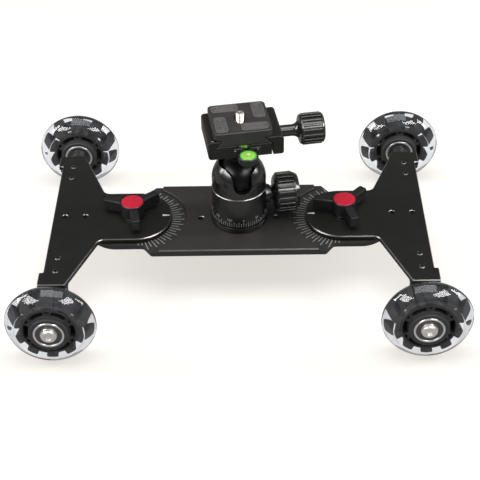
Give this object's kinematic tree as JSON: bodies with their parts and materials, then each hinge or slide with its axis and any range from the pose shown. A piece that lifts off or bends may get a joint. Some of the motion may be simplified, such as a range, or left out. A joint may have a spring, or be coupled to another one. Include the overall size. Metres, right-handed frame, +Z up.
{
  "type": "video dolly",
  "caption": "Tabletop video dolly: a black plate with two swinging T-shaped arms on clear skate wheels, and a ball head with a quick-release clamp for a camera.",
  "frame": {"origin": "on the table, under the middle of the centre plate", "axes": "+X along the centre plate towards the lock knob's side, +Y to the rear, +Z up"},
  "size_m": [0.325, 0.241, 0.1358],
  "materials": {
    "plate_black": "black anodised, satin",
    "arm_black": "black anodised, satin",
    "bracket_black": "black anodised, satin",
    "tyre_clear": "clear cast urethane",
    "hub_black": "moulded",
    "bearing_steel": "ground",
    "axle_steel": "plated",
    "stud_steel": "plated",
    "knob_black": "moulded",
    "cap_red": "gloss",
    "head_black": "black anodised, turned",
    "grip_black": "black anodised, fluted",
    "ball_dark": "polished",
    "clamp_black": "black anodised, satin",
    "holder_black": "moulded",
    "level_green": "clear vial with green liquid",
    "tube_green": "clear vial with green liquid",
    "release_black": "black anodised, satin",
    "grip_rubber": "ribbed",
    "screw_brass": "nickel over brass"
  },
  "bodies": {
    "base": {"centre_plate": "plate_black", "mounting_screw": "stud_steel", "pan_base": "head_black", "left_stud": "stud_steel", "right_stud": "stud_steel", "left_washer": "stud_steel", "right_washer": "stud_steel"},
    "left_arm": {"left_arm": "arm_black", "front_left_bracket": "bracket_black", "rear_left_bracket": "bracket_black", "front_left_race_sleeve": "axle_steel", "rear_left_race_sleeve": "axle_steel", "front_left_axle_bolt": "axle_steel", "rear_left_axle_bolt": "axle_steel"},
    "right_arm": {"right_arm": "arm_black", "front_right_bracket": "bracket_black", "rear_right_bracket": "bracket_black", "front_right_race_sleeve": "axle_steel", "rear_right_race_sleeve": "axle_steel", "front_right_axle_bolt": "axle_steel", "rear_right_axle_bolt": "axle_steel"},
    "front_left_wheel": {"front_left_tyre": "tyre_clear", "front_left_hub": "hub_black", "front_left_outer_bearing": "bearing_steel", "front_left_inner_bearing": "bearing_steel"},
    "rear_left_wheel": {"rear_left_tyre": "tyre_clear", "rear_left_hub": "hub_black", "rear_left_outer_bearing": "bearing_steel", "rear_left_inner_bearing": "bearing_steel"},
    "front_right_wheel": {"front_right_tyre": "tyre_clear", "front_right_hub": "hub_black", "front_right_outer_bearing": "bearing_steel", "front_right_inner_bearing": "bearing_steel"},
    "rear_right_wheel": {"rear_right_tyre": "tyre_clear", "rear_right_hub": "hub_black", "rear_right_outer_bearing": "bearing_steel", "rear_right_inner_bearing": "bearing_steel"},
    "left_clamp_knob": {"left_knob": "knob_black", "left_knob_cap": "cap_red"},
    "right_clamp_knob": {"right_knob": "knob_black", "right_knob_cap": "cap_red"},
    "housing": {"ball_housing": "head_black"},
    "lock_knob": {"lock_knob": "grip_black"},
    "ball": {"ball": "ball_dark"},
    "clamp": {"ball_stem": "ball_dark", "clamp_body": "clamp_black", "level_holder": "holder_black", "round_level": "level_green", "tube_level": "tube_green"},
    "jaw": {"clamp_jaw": "clamp_black"},
    "jaw_knob": {"clamp_knob": "grip_black"},
    "release_plate": {"quick_release_plate": "release_black", "back_left_grip": "grip_rubber", "back_right_grip": "grip_rubber", "front_left_grip": "grip_rubber", "front_right_grip": "grip_rubber"},
    "camera_screw": {"camera_screw": "screw_brass"}
  },
  "joints": [
    {"name": "left_arm_turn", "type": "hinge", "parent": "base", "child": "left_arm", "pos_m": [-0.079, 0, 0.042], "axis": [0, 0, 1], "range_deg": [-45, 45]},
    {"name": "right_arm_turn", "type": "hinge", "parent": "base", "child": "right_arm", "pos_m": [0.079, 0, 0.042], "axis": [0, 0, 1], "range_deg": [-45, 45]},
    {"name": "front_left_wheel_spin", "type": "hinge", "parent": "left_arm", "child": "front_left_wheel", "pos_m": [-0.1305, -0.1063, 0.032], "axis": [0, 1, 0], "continuous": true},
    {"name": "rear_left_wheel_spin", "type": "hinge", "parent": "left_arm", "child": "rear_left_wheel", "pos_m": [-0.1305, 0.1063, 0.032], "axis": [0, 1, 0], "continuous": true},
    {"name": "front_right_wheel_spin", "type": "hinge", "parent": "right_arm", "child": "front_right_wheel", "pos_m": [0.1305, -0.1063, 0.032], "axis": [0, 1, 0], "continuous": true},
    {"name": "rear_right_wheel_spin", "type": "hinge", "parent": "right_arm", "child": "rear_right_wheel", "pos_m": [0.1305, 0.1063, 0.032], "axis": [0, 1, 0], "continuous": true},
    {"name": "left_clamp_knob_turn", "type": "hinge", "parent": "base", "child": "left_clamp_knob", "pos_m": [-0.079, 0, 0.05], "axis": [0, 0, 1], "range_deg": [0, 360]},
    {"name": "right_clamp_knob_turn", "type": "hinge", "parent": "base", "child": "right_clamp_knob", "pos_m": [0.079, 0, 0.05], "axis": [0, 0, 1], "range_deg": [0, 360]},
    {"name": "head_pan", "type": "hinge", "parent": "base", "child": "housing", "pos_m": [0.0008, 0, 0.0466], "axis": [0, 0, 1], "continuous": true},
    {"name": "lock_knob_turn", "type": "hinge", "parent": "housing", "child": "lock_knob", "pos_m": [0.0008, 0, 0.0608], "axis": [0.9877, 0.1564, 0], "range_deg": [0, 360]},
    {"name": "ball_lean", "type": "hinge", "parent": "housing", "child": "ball", "pos_m": [0.0008, 0, 0.08], "axis": [-0.1564, 0.9877, 0], "range_deg": [-20, 20]},
    {"name": "stem_tilt", "type": "hinge", "parent": "ball", "child": "clamp", "pos_m": [0.0008, 0, 0.08], "axis": [0.9877, 0.1564, 0], "range_deg": [-20, 80]},
    {"name": "jaw_slide", "type": "slide", "parent": "clamp", "child": "jaw", "axis": [0.9877, 0.1564, 0], "range_m": [0, 0.004]},
    {"name": "jaw_knob_turn", "type": "hinge", "parent": "jaw", "child": "jaw_knob", "pos_m": [0.0008, 0, 0.115], "axis": [0.9877, 0.1564, 0], "range_deg": [0, 1440]},
    {"name": "release_plate_slide", "type": "slide", "parent": "clamp", "child": "release_plate", "axis": [-0.1564, 0.9877, 0], "range_m": [-0.019, 0.019]},
    {"name": "camera_screw_turn", "type": "hinge", "parent": "release_plate", "child": "camera_screw", "pos_m": [0.00246, -0.00156, 0.13], "axis": [0, 0, 1], "continuous": true}
  ],
  "couplings": [
    {"joint": "jaw_knob_turn", "follows": "jaw_slide", "rad_per_m": 6283.2}
  ]
}
